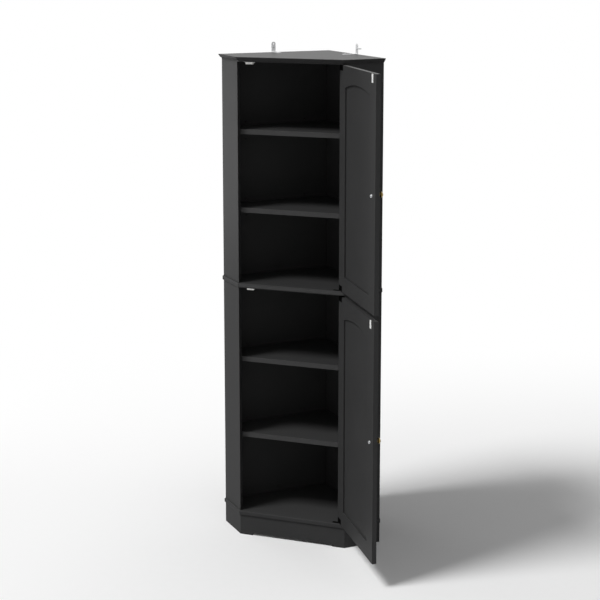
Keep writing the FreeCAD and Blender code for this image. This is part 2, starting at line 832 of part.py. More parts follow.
def wall_bracket(wall):
    """An L of steel strip: its foot lies on the crown and its leg against the wall."""
    body = new_body(f"{wall.name}_wall_bracket", wall.turn, (NONE, NONE, TOP))
    thick, foot, tall = size.bracket_thick, size.bracket_foot, size.bracket_tall
    corners = [(NONE, NONE), (foot, NONE), (foot, thick), (thick, thick), (thick, tall), (NONE, tall)]
    corners = [(y * wall.out, z) for y, z in corners]
    strip = outline(on_plane(body, "YZ_Plane", size.bracket_at), corners)
    pad(body, strip, size.bracket_wide, both=True)
    inside = lambda edge: lies(edge, "y", thick * wall.out) and lies(edge, "z", thick)
    round_edges(body, size.bracket_bend, inside)
    tips = lambda edge: lies(edge, "y", foot * wall.out) or lies(edge, "z", tall)
    round_edges(body, size.bracket_round, lambda edge: tips(edge) and near(edge.Length, thick))
    legs = [(size.bracket_at, level) for level in (size.leg_hole_low, size.leg_hole_high)]
    past = thick + size.overrun
    cut(body, circles(on_plane(body, "XZ_Plane"), legs, size.bracket_hole), past)
    drill(body, NONE, wall.local(BRACKET_FEET), size.bracket_hole, past)


def wall_brackets():
    for wall in WALLS:
        wall_bracket(wall)
    master = screw_master(
        "wall_screw_master", size.wall_screw_head, size.wall_screw_shank, size.wall_screw_long
    )
    out, level = size.bracket_thick + size.screw_head_tall, TOP + size.leg_hole_low
    spots = []
    for wall in WALLS:
        into_wall = Rotation(UPRIGHT, wall.turn) * Rotation(Vector(1, 0, 0), -90 * wall.out)
        spots.append(((*wall.spot(size.bracket_at, out), level), into_wall))
    copies("wall_screws", master, spots)


# Doors. Each is drawn round its pivot: +X runs to the free edge, +Y to the outer face, and Z = 0
# is the door's lower end. At rest it stands open.


DOOR_TURN = size.door_open + size.half_turn
HALF_DOOR = size.door_thick / 2
HINGE_EDGE = -size.pivot_in
FREE_EDGE = FRONT_WIDE - size.door_side_gap * 2 - size.pivot_in
OPENING = (HINGE_EDGE + size.stile_wide, FREE_EDGE - size.stile_wide)
HALF_OPENING = (OPENING[1] - OPENING[0]) / 2
OPENING_MIDDLE = (OPENING[1] + OPENING[0]) / 2
ARCH_RADIUS = (HALF_OPENING * HALF_OPENING + size.arch_rise * size.arch_rise) / (size.arch_rise * 2)
HALF_GROOVE = size.panel_sheet / 2 + size.groove_play
TONGUE = size.groove_deep - size.tongue_play
HINGE_DEEP = size.leaf_thick + size.pivot_reach
LEAF_ENDS = (HINGE_EDGE, HINGE_EDGE + size.leaf_long)
LEAF_SCREWS = (-size.leaf_screw_near, size.leaf_screw_far)
LEAF_SCREW_UP = (size.leaf_tall + size.leaf_thick) / 2
INTO_DOOR = Rotation(Vector(1, 0, 0), 90)


def door_body(label, base):
    body = new_body(label, DOOR_TURN.value, base)
    bind(body, "Placement.Rotation.Angle", DOOR_TURN)
    return body


def door_spot(x, y):
    """A place in a door's frame, in the cabinet's own plan."""
    angle, text = math.radians(DOOR_TURN.value), f"({DOOR_TURN.text} * 1deg)"
    cosine, sine = Size(math.cos(angle), f"cos{text}"), Size(math.sin(angle), f"sin{text}")
    return PIVOT_X + x * cosine - y * sine, PIVOT_Y + x * sine + y * cosine


def stile_plan(edge, opening, side):
    """A stile from its outside edge to the opening, with the panel's groove and the bevel."""
    groove, bevel = opening - size.groove_deep * side, opening - size.frame_bevel * side
    corners = [(edge, -HALF_DOOR), (opening, -HALF_DOOR), (opening, -HALF_GROOVE), (groove, -HALF_GROOVE)]
    corners += [(groove, HALF_GROOVE), (opening, HALF_GROOVE), (opening, HALF_DOOR - size.frame_bevel)]
    return corners + [(bevel, HALF_DOOR), (edge, HALF_DOOR)]


def stile(section, label, edge, opening, side):
    body = door_body(f"{section.name}_door_{label}", section.door_base)
    pad(body, outline(on_plane(body, "XY_Plane"), stile_plan(edge, opening, side)), section.door_tall)
    ends = (NONE, section.door_tall)
    outer = lambda line: lies(line, "y", HALF_DOOR) and (lies(line, "x", edge) or lies(line, "z", *ends))
    round_edges(body, size.door_ease, outer)
    return body


def hinge_stile(section):
    body = stile(section, "hinge_stile", HINGE_EDGE, OPENING[0], 1)
    start, past = LEAF_ENDS[0] - size.overrun, size.overrun
    for level, side in ((NONE, 1), (section.door_tall, -1)):
        flat = box_corners(start, LEAF_ENDS[1], -HALF_DOOR - past, size.leaf_wide - HALF_DOOR)
        cut(body, outline(on_plane(body, "XY_Plane", level), flat), size.leaf_thick)
        upright = box_corners(start, LEAF_ENDS[1], level - past * side, level + size.leaf_tall * side)
        cut(body, outline(on_plane(body, "XZ_Plane", HALF_DOOR), upright), size.leaf_thick)
        drill(body, level, [(NONE, NONE)], size.barrel_radius, HINGE_DEEP)
        screws = [(x, level + LEAF_SCREW_UP * side) for x in LEAF_SCREWS]
        cut(body, circles(on_plane(body, "XZ_Plane", HALF_DOOR), screws, size.screw_shank), SCREW_LONG)


def strike_screws(section):
    centre = section.door_tall - size.strike_down - size.strike_tall / 2
    return [(FREE_EDGE - size.strike_in, centre + size.strike_screw_out * side) for side in (-1, 1)]


def latch_stile(section):
    body = stile(section, "latch_stile", FREE_EDGE, OPENING[1], -1)
    knob_spot = [(FREE_EDGE - size.knob_in, section.door_tall / 2)]
    sketch = circles(on_plane(body, "XZ_Plane"), knob_spot, size.knob_screw_radius)
    cut(body, sketch, size.door_thick)
    sketch = circles(on_plane(body, "XZ_Plane", HALF_DOOR), strike_screws(section), size.screw_shank)
    cut(body, sketch, SCREW_LONG)


def rail(section, label, low, high, outside):
    """A rail whose ends are coped over the stiles' bevels. outside is its eased end."""
    body = door_body(f"{section.name}_door_{label}", section.door_base)
    left, right = OPENING
    bevel, slope = size.frame_bevel, HALF_DOOR - size.frame_bevel
    corners = [(left, -HALF_DOOR), (right, -HALF_DOOR), (right, slope), (right + bevel, HALF_DOOR)]
    corners += [(left - bevel, HALF_DOOR), (left, slope)]
    pad(body, outline(on_plane(body, "XY_Plane", low), corners), high - low)
    round_edges(body, size.door_ease, lambda edge: lies(edge, "y", HALF_DOOR) and lies(edge, "z", outside))
    return body


def frame_waste(sketch, edge, back, side):
    """What a rail's inner edge loses: the panel's groove and the bevel. side points at the rail."""
    deep, past = edge + size.groove_deep * side, HALF_DOOR + size.overrun
    slope = edge + (size.frame_bevel + size.overrun) * side
    corners = [(-past, edge - back * side), (-past, edge), (-HALF_GROOVE, edge), (-HALF_GROOVE, deep)]
    corners += [(HALF_GROOVE, deep), (HALF_GROOVE, edge), (HALF_DOOR - size.frame_bevel, edge)]
    return outline(sketch, corners + [(past, slope), (past, edge - back * side)])


def tenons(body, low, high):
    """Tongues on a rail's ends, for the stiles' grooves."""
    half = size.panel_sheet / 2
    for opening, side in zip(OPENING, (-1, 1)):
        plan = box_corners(opening - TONGUE * side, opening + TONGUE * side, -half, half)
        pad(body, outline(on_plane(body, "XY_Plane", low), plan), high - low)


def door_rails(section):
    bottom = rail(section, "bottom_rail", NONE, size.bottom_rail, NONE)
    waste = frame_waste(on_plane(bottom, "YZ_Plane", OPENING_MIDDLE), size.bottom_rail, size.overrun, -1)
    cut(bottom, waste, FREE_EDGE)
    tenons(bottom, NONE, size.bottom_rail - size.groove_deep - size.tongue_play)
    spring = section.arch_spring
    top = rail(section, "top_rail", spring, section.door_tall, section.door_tall)
    centre = spring + size.arch_rise - ARCH_RADIUS
    sketch = on_plane(top, "YZ_Plane", OPENING_MIDDLE, rise=centre)
    turned_cut(top, frame_waste(sketch, ARCH_RADIUS, size.arch_rise + size.overrun, 1))
    tenons(top, spring + size.groove_deep + size.tongue_play * 2, section.door_tall)


def arched(sketch, section, outset):
    """The frame's arched opening, grown by the outset or shrunk where it is negative."""
    reach, radius = HALF_OPENING + outset, ARCH_RADIUS + outset
    shoulder = section.arch_spring + size.arch_rise - ARCH_RADIUS + root(radius * radius - reach * reach)
    left, right = OPENING_MIDDLE - reach, OPENING_MIDDLE + reach
    corners = box_corners(left, right, size.bottom_rail - outset, shoulder)
    return outline(sketch, corners, {2: (radius, True)})


def door_panel(section):
    """The arched panel, with a raised and fielded outer face."""
    body = door_body(f"{section.name}_door_panel", section.door_base)
    pad(body, arched(on_plane(body, "XZ_Plane"), section, TONGUE), size.panel_sheet, both=True)
    face = size.panel_sheet / 2
    foot = arched(on_plane(body, "XZ_Plane", -face), section, -size.field_in)
    field = on_plane(body, "XZ_Plane", -face - size.field_raise)
    loft(body, foot, arched(field, section, -size.field_in - size.field_slope))


def pivot_leaf(section, label, level, side):
    """The hinge's door half: an L let into the stile's corner, and a barrel round the pin."""
    x, y, z = section.door_base
    body = door_body(f"{section.name}_{label}_pivot_leaf", (x, y, z + level))
    flat = box_corners(*LEAF_ENDS, -HALF_DOOR, size.leaf_wide - HALF_DOOR)
    sketch = outline(on_plane(body, "XY_Plane", size.leaf_thick / 2 * side), flat)
    pad(body, sketch, size.leaf_thick, both=True)
    upright = box_corners(*LEAF_ENDS, -HALF_DOOR, size.leaf_thick - HALF_DOOR)
    sketch = outline(on_plane(body, "XY_Plane", size.leaf_tall / 2 * side), upright)
    pad(body, sketch, size.leaf_tall, both=True)
    sketch = on_plane(body, "XY_Plane", HINGE_DEEP / 2 * side)
    pad(body, circles(sketch, [(NONE, NONE)], size.barrel_radius), HINGE_DEEP, both=True)
    drill(body, NONE, [(NONE, NONE)], size.pivot_radius + size.pivot_play, HINGE_DEEP + size.overrun)
    countersink(body, "XZ_Plane", HALF_DOOR, [(x, LEAF_SCREW_UP * side) for x in LEAF_SCREWS])


def strike(section):
    body = door_body(f"{section.name}_strike", section.door_base)
    half, centre = size.strike_wide / 2, FREE_EDGE - size.strike_in
    top = section.door_tall - size.strike_down
    plate = box_corners(centre - half, centre + half, top - size.strike_tall, top)
    sketch = outline(on_plane(body, "XZ_Plane", HALF_DOOR + size.strike_thick / 2), plate)
    pad(body, sketch, size.strike_thick, both=True)
    round_edges(body, size.strike_thick, lambda edge: near(edge.Length, size.strike_thick))
    heads = circles(on_plane(body, "XZ_Plane", HALF_DOOR), strike_screws(section), size.screw_head)
    cut(body, heads, size.strike_thick + size.overrun)


def knob(section):
    """A turned knob: a foot, a neck, and a head with a round underside and a domed face."""
    x, y = door_spot(FREE_EDGE - size.knob_in, HALF_DOOR)
    body = door_body(f"{section.name}_knob", (x, y, section.door_base[2] + section.door_tall / 2))
    foot, neck, head, foot_thick = size.knob_foot, size.knob_neck, size.knob_radius, size.knob_foot_thick
    hollow, flare, widest = foot - neck, head - neck, size.knob_out - size.knob_dome
    crown = (head * head + size.knob_dome * size.knob_dome) / (size.knob_dome * 2)
    corners = [(NONE, NONE), (foot, NONE), (foot, foot_thick), (neck, foot_thick + hollow)]
    corners += [(neck, widest - flare), (head, widest), (NONE, size.knob_out)]
    arcs = {2: (hollow, False), 4: (flare, True), 5: (crown, True)}
    revolve(body, outline(on_plane(body, "XY_Plane"), corners, arcs))
    bore = circles(on_plane(body, "XZ_Plane"), [(NONE, NONE)], size.knob_screw_radius)
    cut(body, bore, size.knob_bore)


def door_screws(section, small, knob_screw):
    levels = (LEAF_SCREW_UP, section.door_tall - LEAF_SCREW_UP)
    spots = [((x, -HALF_DOOR, level), INTO_DOOR) for level in levels for x in LEAF_SCREWS]
    face = -HALF_DOOR - size.strike_thick
    spots += [((x, face, level), INTO_DOOR) for x, level in strike_screws(section)]
    copies(f"{section.name}_door_screws", small, spots, DOOR_TURN, section.door_base)
    head = (FREE_EDGE - size.knob_in, -HALF_DOOR - size.screw_head_tall, section.door_tall / 2)
    copies(f"{section.name}_knob_screw", knob_screw, [(head, INTO_DOOR)], DOOR_TURN, section.door_base)


def doors(small):
    long = size.screw_head_tall + size.door_thick + size.knob_bore
    knob_screw = screw_master("knob_screw_master", size.knob_screw_head, size.knob_screw_radius, long)
    for section in SECTIONS:
        hinge_stile(section)
        latch_stile(section)
        door_rails(section)
        door_panel(section)
        pivot_leaf(section, "bottom", NONE, 1)
        pivot_leaf(section, "top", section.door_tall, -1)
        strike(section)
        knob(section)
        door_screws(section, small, knob_screw)


def check_model():
    """Stops if a feature failed, a cut took nothing away or a piece has no valid shape."""
    for item in doc.Objects:
        if "Invalid" in item.State or "Error" in item.State:
            raise RuntimeError(f"{item.Name} failed: {item.State}")
    for item in cuts:
        if item.Shape.Volume > item.BaseFeature.Shape.Volume - 1e-3:
            raise RuntimeError(f"{item.Name} cuts nothing")
    for node in nodes:
        if node.Shape.isNull() or not node.Shape.isValid():
            raise RuntimeError(f"{node.Label} has no valid shape")


def main():
    boards()
    panels()
    plinth()
    shelves()
    shelf_pins()
    dowels()
    cam_fittings()
    pivot_plates()
    catches()
    wall_brackets()
    small = screw_master("small_screw_master", size.screw_head, size.screw_shank, SCREW_LONG)
    carcass_screws(small)
    doors(small)
    doc.recompute()
    check_model()
    os.makedirs("parts", exist_ok=True)
    for node in nodes:
        node.Shape.exportStep(f"parts/{node.Label}.step")


main()
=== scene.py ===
import json
import math

import bmesh
import bpy

from mathutils import Matrix, Vector


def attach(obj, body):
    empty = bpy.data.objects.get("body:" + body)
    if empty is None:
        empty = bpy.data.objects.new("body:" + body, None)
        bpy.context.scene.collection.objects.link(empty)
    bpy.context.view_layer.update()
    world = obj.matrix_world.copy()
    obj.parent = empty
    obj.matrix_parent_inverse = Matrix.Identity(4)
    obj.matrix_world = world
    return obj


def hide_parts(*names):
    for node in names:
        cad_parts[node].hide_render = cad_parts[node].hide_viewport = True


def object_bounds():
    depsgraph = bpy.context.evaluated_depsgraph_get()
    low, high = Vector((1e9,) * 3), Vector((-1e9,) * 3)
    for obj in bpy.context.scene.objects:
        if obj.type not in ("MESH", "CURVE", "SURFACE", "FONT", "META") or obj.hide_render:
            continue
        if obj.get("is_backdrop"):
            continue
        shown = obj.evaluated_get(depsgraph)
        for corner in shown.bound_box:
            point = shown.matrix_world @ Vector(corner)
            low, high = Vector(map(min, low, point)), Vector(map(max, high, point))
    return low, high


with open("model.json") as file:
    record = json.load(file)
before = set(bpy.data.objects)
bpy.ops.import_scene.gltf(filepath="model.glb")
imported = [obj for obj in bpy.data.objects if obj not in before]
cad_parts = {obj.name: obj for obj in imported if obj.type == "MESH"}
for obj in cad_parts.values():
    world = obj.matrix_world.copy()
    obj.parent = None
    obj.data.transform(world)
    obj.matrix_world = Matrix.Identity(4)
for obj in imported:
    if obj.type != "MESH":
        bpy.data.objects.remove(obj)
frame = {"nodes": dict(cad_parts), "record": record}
NODES = frame["nodes"]
BEHAVIOUR = frame["record"]["behaviour"]
BODY_OF = {node: body for body, nodes in BEHAVIOUR["bodies"].items() for node in nodes}
SLOT_OF = {name: node.material_slots[0].material.name for name, node in NODES.items()}
DOOR_OPEN = math.radians(-BEHAVIOUR["joints"][0]["range_deg"][0])

bl_info = {
    "name": "Corner cabinet",
    "version": (1, 0, 0),
    "blender": (4, 5, 0),
    "location": "3D View > Sidebar > Corner cabinet",
    "description": "Paints a tall corner cabinet, finishes its fittings and sets it on a studio floor",
    "category": "Object",
}


# Sizes and colours that a user would change


class PaintSettings(bpy.types.PropertyGroup):
    colour: bpy.props.FloatVectorProperty(
        name="Paint", description="Colour of the satin paint", subtype="COLOR",
        size=3, min=0, max=1, default=(0.0345, 0.0345, 0.0348),
    )
    # This colour paints highlight as well as wear: it lightens soft edges in patches, and the front faces of
    # shelves and boards, where light catches them.
    worn: bpy.props.FloatVectorProperty(
        name="Rubbed paint", description="Colour of the paint where hands rub the edges", subtype="COLOR",
        size=3, min=0, max=1, default=(0.11, 0.11, 0.11),
    )
    sheen: bpy.props.FloatProperty(
        name="Roughness", description="Roughness of the satin paint", subtype="FACTOR",
        min=0.05, max=1, default=0.42,
    )
    soft_edge: bpy.props.FloatProperty(
        name="Soft edge", description="Radius that paint gives to a board's edge", unit="LENGTH",
        min=0, max=0.003, default=0.0014,
    )
    # These two set painted shade: darkening in grooves and corners, and on faces that look down, where shade
    # falls, and how far it spreads out of a corner.
    grime: bpy.props.FloatProperty(
        name="Grime", description="How far dirt darkens the paint in grooves and corners", subtype="FACTOR",
        min=0, max=1, default=0.5,
    )
    grime_reach: bpy.props.FloatProperty(
        name="Grime reach", description="How far the dirt spreads out of a corner", unit="LENGTH",
        min=0, max=0.05, default=0.009,
    )
    # This colour and the height under it paint a lighter film on level faces: on top of the cabinet partly a
    # dusty film and partly painted light, on the low boards painted light only.
    dust: bpy.props.FloatVectorProperty(
        name="Dust", description="Colour of the film of dust on level faces", subtype="COLOR",
        size=3, min=0, max=1, default=(0.21, 0.21, 0.208),
    )
    dust_from: bpy.props.FloatProperty(
        name="Dust from", description="Height over which level faces carry a film of dust", unit="LENGTH",
        min=0, max=3, default=1.74,
    )
    peel: bpy.props.FloatProperty(
        name="Orange peel", description="Depth of the sprayed paint's fine dimples", unit="LENGTH",
        min=0, max=0.0005, default=0.00005,
    )


class FittingSettings(bpy.types.PropertyGroup):
    # Darker than polished brass: this colour holds painted shade, standing in for the dark surroundings that
    # the knobs reflect.
    brass: bpy.props.FloatVectorProperty(
        name="Brass", description="Colour of the turned knobs", subtype="COLOR",
        size=3, min=0, max=1, default=(0.27, 0.185, 0.052),
    )
    zinc: bpy.props.FloatVectorProperty(
        name="Zinc", description="Colour of plated screws, pins, cams and poles", subtype="COLOR",
        size=3, min=0, max=1, default=(0.8, 0.81, 0.82),
    )
    dull_zinc: bpy.props.FloatVectorProperty(
        name="Dull zinc", description="Colour of the wall brackets' weathered plate", subtype="COLOR",
        size=3, min=0, max=1, default=(0.72, 0.725, 0.73),
    )
    black: bpy.props.FloatVectorProperty(
        name="Black", description="Colour of the pivot hinges", subtype="COLOR",
        size=3, min=0, max=1, default=(0.001, 0.001, 0.001),
    )
    white: bpy.props.FloatVectorProperty(
        name="White", description="Colour of the catches and strikes", subtype="COLOR",
        size=3, min=0, max=1, default=(0.88, 0.88, 0.86),
    )
    cap_radius: bpy.props.FloatProperty(
        name="Cap radius", description="Radius of the caps over the cam discs", unit="LENGTH",
        min=0.0076, max=0.012, default=0.0085,
    )
    cap_thick: bpy.props.FloatProperty(
        name="Cap thickness", description="How far a cap stands off the panel", unit="LENGTH",
        min=0.0005, max=0.003, default=0.0012,
    )
    recess_share: bpy.props.FloatProperty(
        name="Cross recess", description="Reach of a screw's cross recess as a share of its head",
        subtype="FACTOR", min=0.2, max=0.8, default=0.5,
    )


class StageSettings(bpy.types.PropertyGroup):
    floor: bpy.props.FloatVectorProperty(
        name="Floor", description="Colour of the studio floor", subtype="COLOR",
        size=3, min=0, max=1, default=(0.93, 0.93, 0.93),
    )
    room_level: bpy.props.FloatProperty(
        name="Room level", description="Brightness of the light from all round", min=0, max=2, default=0.3,
    )
    room_lean: bpy.props.FloatProperty(
        name="Room lean", description="How much brighter the room is at the front right", subtype="FACTOR",
        min=0, max=1, default=0.75,
    )
    key_power: bpy.props.FloatProperty(
        name="Key lamp", description="Power of the large soft lamp high at the front left", unit="POWER",
        min=0, max=50000, default=5050.0,
    )
    key_size: bpy.props.FloatProperty(
        name="Key size", description="Width of the large soft lamp", unit="LENGTH",
        min=0.1, max=20, default=7.9,
    )
    fill_power: bpy.props.FloatProperty(
        name="Fill lamp", description="Power of the weak lamp at the left, behind the cabinet", unit="POWER",
        min=0, max=500, default=11.0,
    )
    fill_size: bpy.props.FloatProperty(
        name="Fill size", description="Width of the weak lamp", unit="LENGTH",
        min=0.1, max=20, default=1.3,
    )
    lens: bpy.props.FloatProperty(
        name="Lens", description="Focal length of the camera", unit="CAMERA",
        min=10, max=300, default=90.99,
    )


# Shader expressions

# Sockets that a Mix node has for colours, and the number of its colour output
MIX_SHARE, MIX_FIRST, MIX_SECOND, MIX_COLOUR = 0, 6, 7, 2

UP = (0.0, 0.0, 1.0)
DOWN = (0.0, 0.0, -1.0)
FRONT = (0.0, -1.0, 0.0)
LEFT = (-1.0, 0.0, 0.0)


class Value:
    """A shader socket in an expression. Each operator adds a node: Math for numbers, Vector Math
    where a vector takes part, and Mix where a colour does."""

    def __init__(self, nodes, socket):
        self.nodes = nodes
        self.socket = socket

    def beside(self, output):
        """Another output of the same node."""
        return Value(self.nodes, self.socket.node.outputs[output])

    def combined(self, operation, first, second):
        kinds = {item.socket.type for item in (first, second) if isinstance(item, Value)}
        if "RGBA" in kinds:
            settings = {"data_type": "RGBA", "blend_type": operation}
            sockets = {MIX_SHARE: 1.0, MIX_FIRST: first, MIX_SECOND: second}
            return self.nodes.add("ShaderNodeMix", settings, sockets, MIX_COLOUR)
        kind = "ShaderNodeVectorMath" if "VECTOR" in kinds else "ShaderNodeMath"
        return self.nodes.add(kind, {"operation": operation}, {0: first, 1: second})

    def __add__(self, other):
        return self.combined("ADD", self, other)

    def __radd__(self, other):
        return self.combined("ADD", other, self)

    def __sub__(self, other):
        return self.combined("SUBTRACT", self, other)

    def __rsub__(self, other):
        return self.combined("SUBTRACT", other, self)

    def __mul__(self, other):
        return self.combined("MULTIPLY", self, other)

    def __rmul__(self, other):
        return self.combined("MULTIPLY", other, self)

    def __pow__(self, other):
        return self.combined("POWER", self, other)

    def __rpow__(self, other):
        return self.combined("POWER", other, self)


class Nodes:
    """A node tree that is filled from empty, with one method for any node."""

    def __init__(self, owner):
        owner.use_nodes = True
        self.tree = owner.node_tree
        self.tree.nodes.clear()

    def add(self, kind, settings=(), sockets=(), output=0):
        """Adds a node: its settings first, then the values or links of its sockets. Gives one output."""
        made = self.tree.nodes.new(kind)
        for name, setting in dict(settings).items():
            setattr(made, name, setting)
        for name, item in dict(sockets).items():
            socket = made.inputs[name]
            if isinstance(item, Value):
                self.tree.links.new(item.socket, socket)
            elif socket.type == "RGBA":
                socket.default_value = (*item, 1)
            else:
                socket.default_value = item
        return Value(self, made.outputs[output]) if made.outputs else None


def noise(nodes, place, scale, detail, stretch=None):
    """Noise of 0 to 1 at a place, scale being patches to the metre. stretch squeezes each axis."""
    if stretch:
        place = place * stretch
    return nodes.add("ShaderNodeTexNoise", {}, {"Vector": place, "Scale": scale, "Detail": detail})


def eased(nodes, item, low, high):
    """0 at low, 1 at high, and smooth between. low may be the larger of the two."""
    settings = {"interpolation_type": "SMOOTHSTEP"}
    return nodes.add("ShaderNodeMapRange", settings, {"Value": item, "From Min": low, "From Max": high})


def blended(nodes, share, first, second):
    """The first colour where share is 0, and the second where it is 1."""
    sockets = {MIX_SHARE: share, MIX_FIRST: first, MIX_SECOND: second}
    return nodes.add("ShaderNodeMix", {"data_type": "RGBA"}, sockets, MIX_COLOUR)


def grey(nodes, level):
    return nodes.add("ShaderNodeCombineColor", {}, {name: level for name in ("Red", "Green", "Blue")})


def toned(colour, share):
    """A colour worked out in Python, darker or lighter by that share."""
    return tuple(share * part for part in colour)


def dot(nodes, first, second):
    settings = {"operation": "DOT_PRODUCT"}
    return nodes.add("ShaderNodeVectorMath", settings, {0: first, 1: second}, "Value")


def facing(nodes, normal, way, low, high):
    """How far a face looks that way: 0 where the cosine is low, and 1 where it is high."""
    return eased(nodes, dot(nodes, normal, way), low, high)


def soft_normal(nodes, radius):
    return nodes.add("ShaderNodeBevel", {"samples": 4}, {"Radius": radius})


def begun(name):
    """A new material, its nodes, and the place on the piece in metres."""
    material = bpy.data.materials.new(name)
    nodes = Nodes(material)
    return material, nodes, nodes.add("ShaderNodeTexCoord", {}, {}, "Object")


def finished(nodes, sockets, height, depth, normal=None):
    """Ends a material: a Principled surface with a bump of that height map and depth."""
    bump = {"Height": height, "Distance": depth}
    if normal:
        bump["Normal"] = normal
    sockets = {**sockets, "Normal": nodes.add("ShaderNodeBump", {}, bump)}
    surface = nodes.add("ShaderNodeBsdfPrincipled", {}, sockets)
    nodes.add("ShaderNodeOutputMaterial", {}, {"Surface": surface})


# Satin paint

# How far a corner's normal leans to the sky before its openness is taken, so that the painted shade
# is darker under things above. It stays under 1, at which a face that looks down would have no normal left
SKY_LEAN = (0.0, 0.0, 0.8)

# Closed share of what a corner sees, where the painted shade starts and where it is full, and the
# share of the painted shade that is taken off faces that look up, where light falls
CORNER_FROM, CORNER_FULL, UPLIT_RELIEF = 0.2, 0.7, 0.85

# Heights in metres of the painted highlight on front faces, the metres over which it fades, and its share
HIGHLIGHT_FOOT, HIGHLIGHT_TOP, HIGHLIGHT_FADE, HIGHLIGHT_SHARE = 0.11, 1.75, 0.01, 0.12

# Share of the lighter film on top of the cabinet, a dusty film and painted light, what the clouds add,
# and the metres over which it fades
TOP_DUST_AND_LIGHT, CLOUDY_DUST_AND_LIGHT, TOP_FILM_FADE = 0.36, 0.18, 0.03

# Height in metres under which level faces get a thin painted light, and its share at the floor
PAINTED_LIGHT_BELOW, LOW_PAINTED_LIGHT = 1.1, 0.06

# Share of the patchy lightening, wear and painted highlight, on a soft edge, and of painted shade on
# faces that look down
EDGE_WEAR_AND_HIGHLIGHT, UNDER_SHADE = 0.7, 0.45


def corner_grime(nodes, flat, up, reach):
    """Share of painted shade in grooves and corners, darker under things above, with little on
    faces that look up.
    """
    skyward = nodes.add("ShaderNodeVectorMath", {"operation": "NORMALIZE"}, {0: flat + SKY_LEAN})
    sockets = {"Distance": reach, "Normal": skyward}
    open_share = nodes.add("ShaderNodeAmbientOcclusion", {"samples": 4}, sockets, "AO")
    return eased(nodes, 1 - open_share, CORNER_FROM, CORNER_FULL) * (1 - UPLIT_RELIEF * up)


def hand_rubs(nodes, height, blotches):
    """Share of painted highlight on faces that look to the front, such as the front edges of shelves
    and boards, in patches, but not on the plinth and the crown."""
    own = nodes.add("ShaderNodeTexCoord", {}, {}, "Normal")
    front = facing(nodes, own, FRONT, 0.95, 0.99)
    over_foot = eased(nodes, height, HIGHLIGHT_FOOT, HIGHLIGHT_FOOT + HIGHLIGHT_FADE)
    under_top = eased(nodes, height, HIGHLIGHT_TOP, HIGHLIGHT_TOP - HIGHLIGHT_FADE)
    return front * (over_foot * under_top) * (HIGHLIGHT_SHARE + HIGHLIGHT_SHARE * blotches)


def dust_film(nodes, height, up, clouds, dust_from):
    """Share of the lighter film on level faces: a dusty film with painted light on top of the cabinet,
    and a thin painted light on its low boards.
    """
    high = eased(nodes, height, dust_from, dust_from + TOP_FILM_FADE)
    low = eased(nodes, height, PAINTED_LIGHT_BELOW, 0.0)
    return up * (high * (TOP_DUST_AND_LIGHT + CLOUDY_DUST_AND_LIGHT * clouds) + low * LOW_PAINTED_LIGHT)


def satin_paint():
    """Sprayed satin paint on fibreboard: cloudy tone, fine dimples, softened edges lightened in patches by
    wear and painted highlight, painted shade in the corners and on faces that look down, and a dusty
    film with painted light on the level faces."""
    paint = bpy.context.scene.cabinet_paint
    colour = tuple(paint.colour)
    material, nodes, place = begun("satin_paint")
    soft = soft_normal(nodes, paint.soft_edge)
    flat = nodes.add("ShaderNodeNewGeometry", {}, {}, "Normal")
    height = dot(nodes, place, UP)
    up = facing(nodes, flat, UP, 0.75, 0.98)
    clouds = noise(nodes, place, scale=7.0, detail=3.0)
    dimples = noise(nodes, place, scale=520.0, detail=2.0)
    pores = noise(nodes, place, scale=1900.0, detail=1.0)
    blotches = noise(nodes, place, scale=38.0, detail=4.0)
    edge = eased(nodes, 1 - dot(nodes, soft, flat), 0.02, 0.25)
    # Painted shade in grooves and corners, darker under things above.
    corner = corner_grime(nodes, flat, up, paint.grime_reach)
    # Soft edges made lighter in patches: wear and painted highlight.
    worn = edge * eased(nodes, blotches, 0.42, 0.72) * (1 - corner)
    # Painted shade on faces that look down.
    under = facing(nodes, flat, DOWN, 0.05, 0.5) * (1 - corner)
    worn_and_lit = worn * EDGE_WEAR_AND_HIGHLIGHT + hand_rubs(nodes, height, blotches)
    # Level faces made lighter: a dusty film and painted light on top, painted light on the low boards.
    dust = dust_film(nodes, height, up, clouds, paint.dust_from)
    # The painted shade darkens the paint to a tenth of its colour.
    grime = (corner + under * UNDER_SHADE) * paint.grime
    tone = blended(nodes, worn_and_lit, grey(nodes, 0.9 + 0.2 * clouds) * colour, tuple(paint.worn))
    tone = blended(nodes, dust, tone, tuple(paint.dust))
    tone = blended(nodes, grime, tone, toned(colour, 0.1))
    rough = paint.sheen - 0.05 + 0.08 * clouds + 0.05 * dimples + 0.06 * edge
    sockets = {"Base Color": tone, "Roughness": rough, "IOR": 1.45, "Specular IOR Level": 0.04}
    finished(nodes, sockets, dimples * 0.7 + pores * 0.3, paint.peel, soft)
    return material


# Finishes of the fittings


def black_coat():
    """Black coated steel, finely grained."""
    black = tuple(bpy.context.scene.cabinet_fittings.black)
    material, nodes, place = begun("black_coat")
    grain = noise(nodes, place, scale=2600.0, detail=1.0)
    smears = noise(nodes, place, scale=90.0, detail=3.0)
    colour = blended(nodes, smears * 0.5, black, toned(black, 2))
    sockets = {"Base Color": colour, "Roughness": 0.7 + 0.2 * smears, "IOR": 1.45, "Specular IOR Level": 0.01}
    finished(nodes, sockets, grain, depth=0.00003, normal=soft_normal(nodes, 0.0003))
    return material


